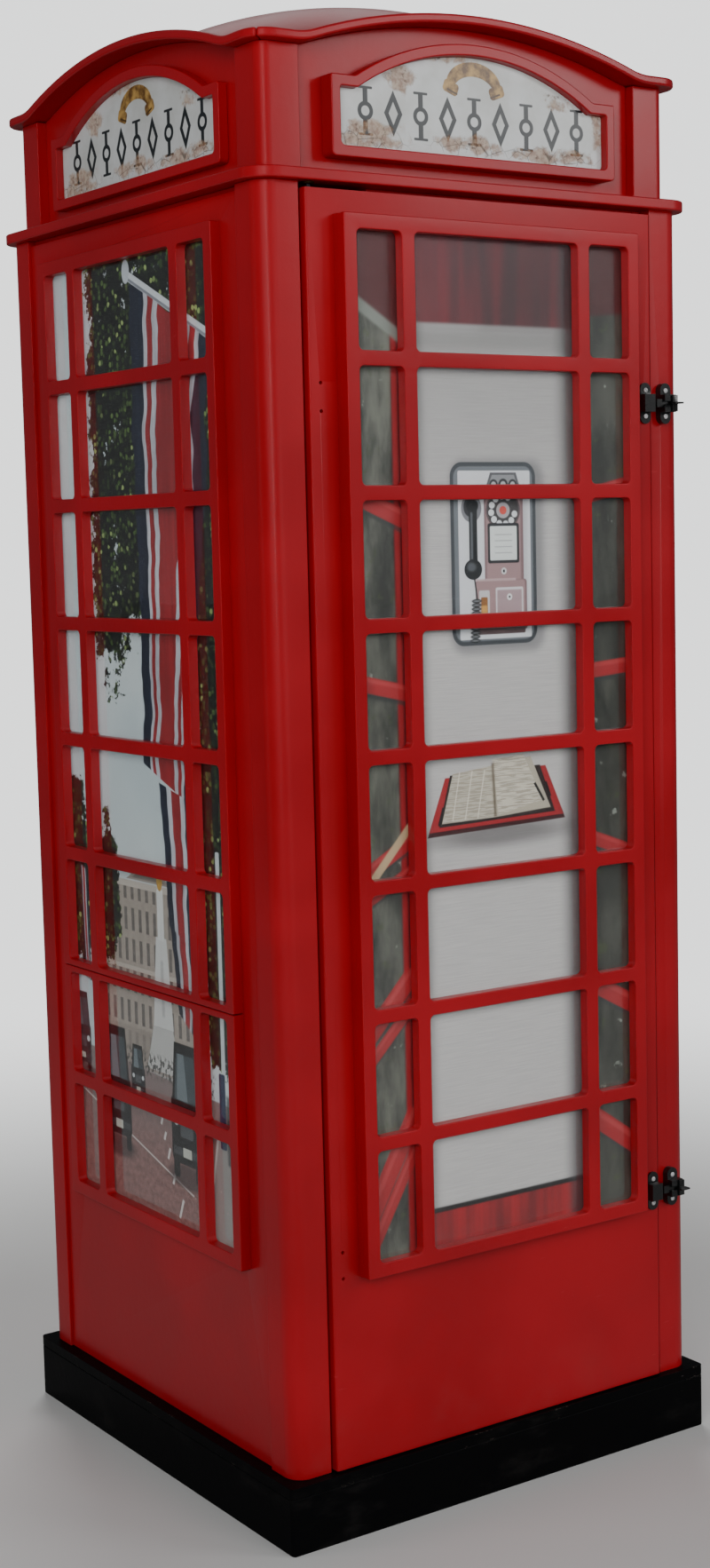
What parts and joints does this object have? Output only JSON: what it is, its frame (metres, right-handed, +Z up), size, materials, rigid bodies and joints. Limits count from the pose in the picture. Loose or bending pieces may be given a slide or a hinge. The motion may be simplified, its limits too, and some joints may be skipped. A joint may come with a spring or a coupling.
{
  "type": "telephone booth",
  "caption": "Square red telephone booth with glazed lattice sides, a hinged door held by slide latches, arched pediments with sign plates and a shallow domed roof.",
  "frame": {"origin": "centre of the underside of the plinth", "axes": "+Z up, the door faces -Y, +X to the right of someone facing the door"},
  "size_m": [0.9, 0.9239, 2.555],
  "materials": {
    "red_paint": "satin red paint on board, slight orange peel",
    "black_paint": "satin black paint on board",
    "clear_acrylic": "clear acrylic sheet",
    "booth_print": null,
    "street_print": null,
    "sign_enamel": "aged off-white sign board",
    "pin_steel": "bright steel pin",
    "bush_brass": "turned brass",
    "black_plastic": "moulded black plastic",
    "screw_steel": "bright plated screws"
  },
  "bodies": {
    "cabinet": {"plinth_frame": "black_paint", "base_board": "black_paint", "front_left_post": "red_paint", "front_right_post": "red_paint", "back_left_post": "red_paint", "back_right_post": "red_paint", "left_panel": "red_paint", "right_panel": "red_paint", "back_panel": "red_paint", "left_upper_lattice": "red_paint", "right_upper_lattice": "red_paint", "back_upper_lattice": "red_paint", "left_lower_lattice": "red_paint", "right_lower_lattice": "red_paint", "back_lower_lattice": "red_paint", "left_pane": "clear_acrylic", "right_pane": "clear_acrylic", "back_pane": "clear_acrylic", "left_print": "street_print", "right_print": "street_print", "back_print": "street_print", "pivot_bushes": "bush_brass", "right_stop": "red_paint", "head_stop": "red_paint", "cornice_board": "red_paint", "front_left_pediment_post": "red_paint", "front_right_pediment_post": "red_paint", "back_left_pediment_post": "red_paint", "back_right_pediment_post": "red_paint", "front_pediment_panel": "red_paint", "left_pediment_panel": "red_paint", "right_pediment_panel": "red_paint", "back_pediment_panel": "red_paint", "front_sign_frame": "red_paint", "left_sign_frame": "red_paint", "right_sign_frame": "red_paint", "back_sign_frame": "red_paint", "front_sign_plate": "sign_enamel", "left_sign_plate": "sign_enamel", "right_sign_plate": "sign_enamel", "back_sign_plate": "sign_enamel", "front_moulding": "red_paint", "left_moulding": "red_paint", "right_moulding": "red_paint", "back_moulding": "red_paint", "roof_board": "red_paint", "roof_dome": "red_paint", "latch_housings": "black_plastic", "housing_screws": "screw_steel"},
    "door": {"door_leaf": "red_paint", "door_spacer": "red_paint", "door_lattice": "red_paint", "door_pane": "clear_acrylic", "door_print": "booth_print", "pivot_pins": "pin_steel", "latch_keepers": "black_plastic", "keeper_screws": "screw_steel"},
    "upper_latch_bolt": {"upper_bolt": "black_plastic"},
    "lower_latch_bolt": {"lower_bolt": "black_plastic"}
  },
  "joints": [
    {"name": "door_hinge", "type": "hinge", "parent": "cabinet", "child": "door", "pos_m": [-0.339, -0.425, 1.15], "axis": [0, 0, -1], "range_deg": [0, 110]},
    {"name": "upper_bolt_slide", "type": "slide", "parent": "cabinet", "child": "upper_latch_bolt", "axis": [-1, 0, 0], "range_m": [0, 0.018]},
    {"name": "lower_bolt_slide", "type": "slide", "parent": "cabinet", "child": "lower_latch_bolt", "axis": [-1, 0, 0], "range_m": [0, 0.018]}
  ]
}
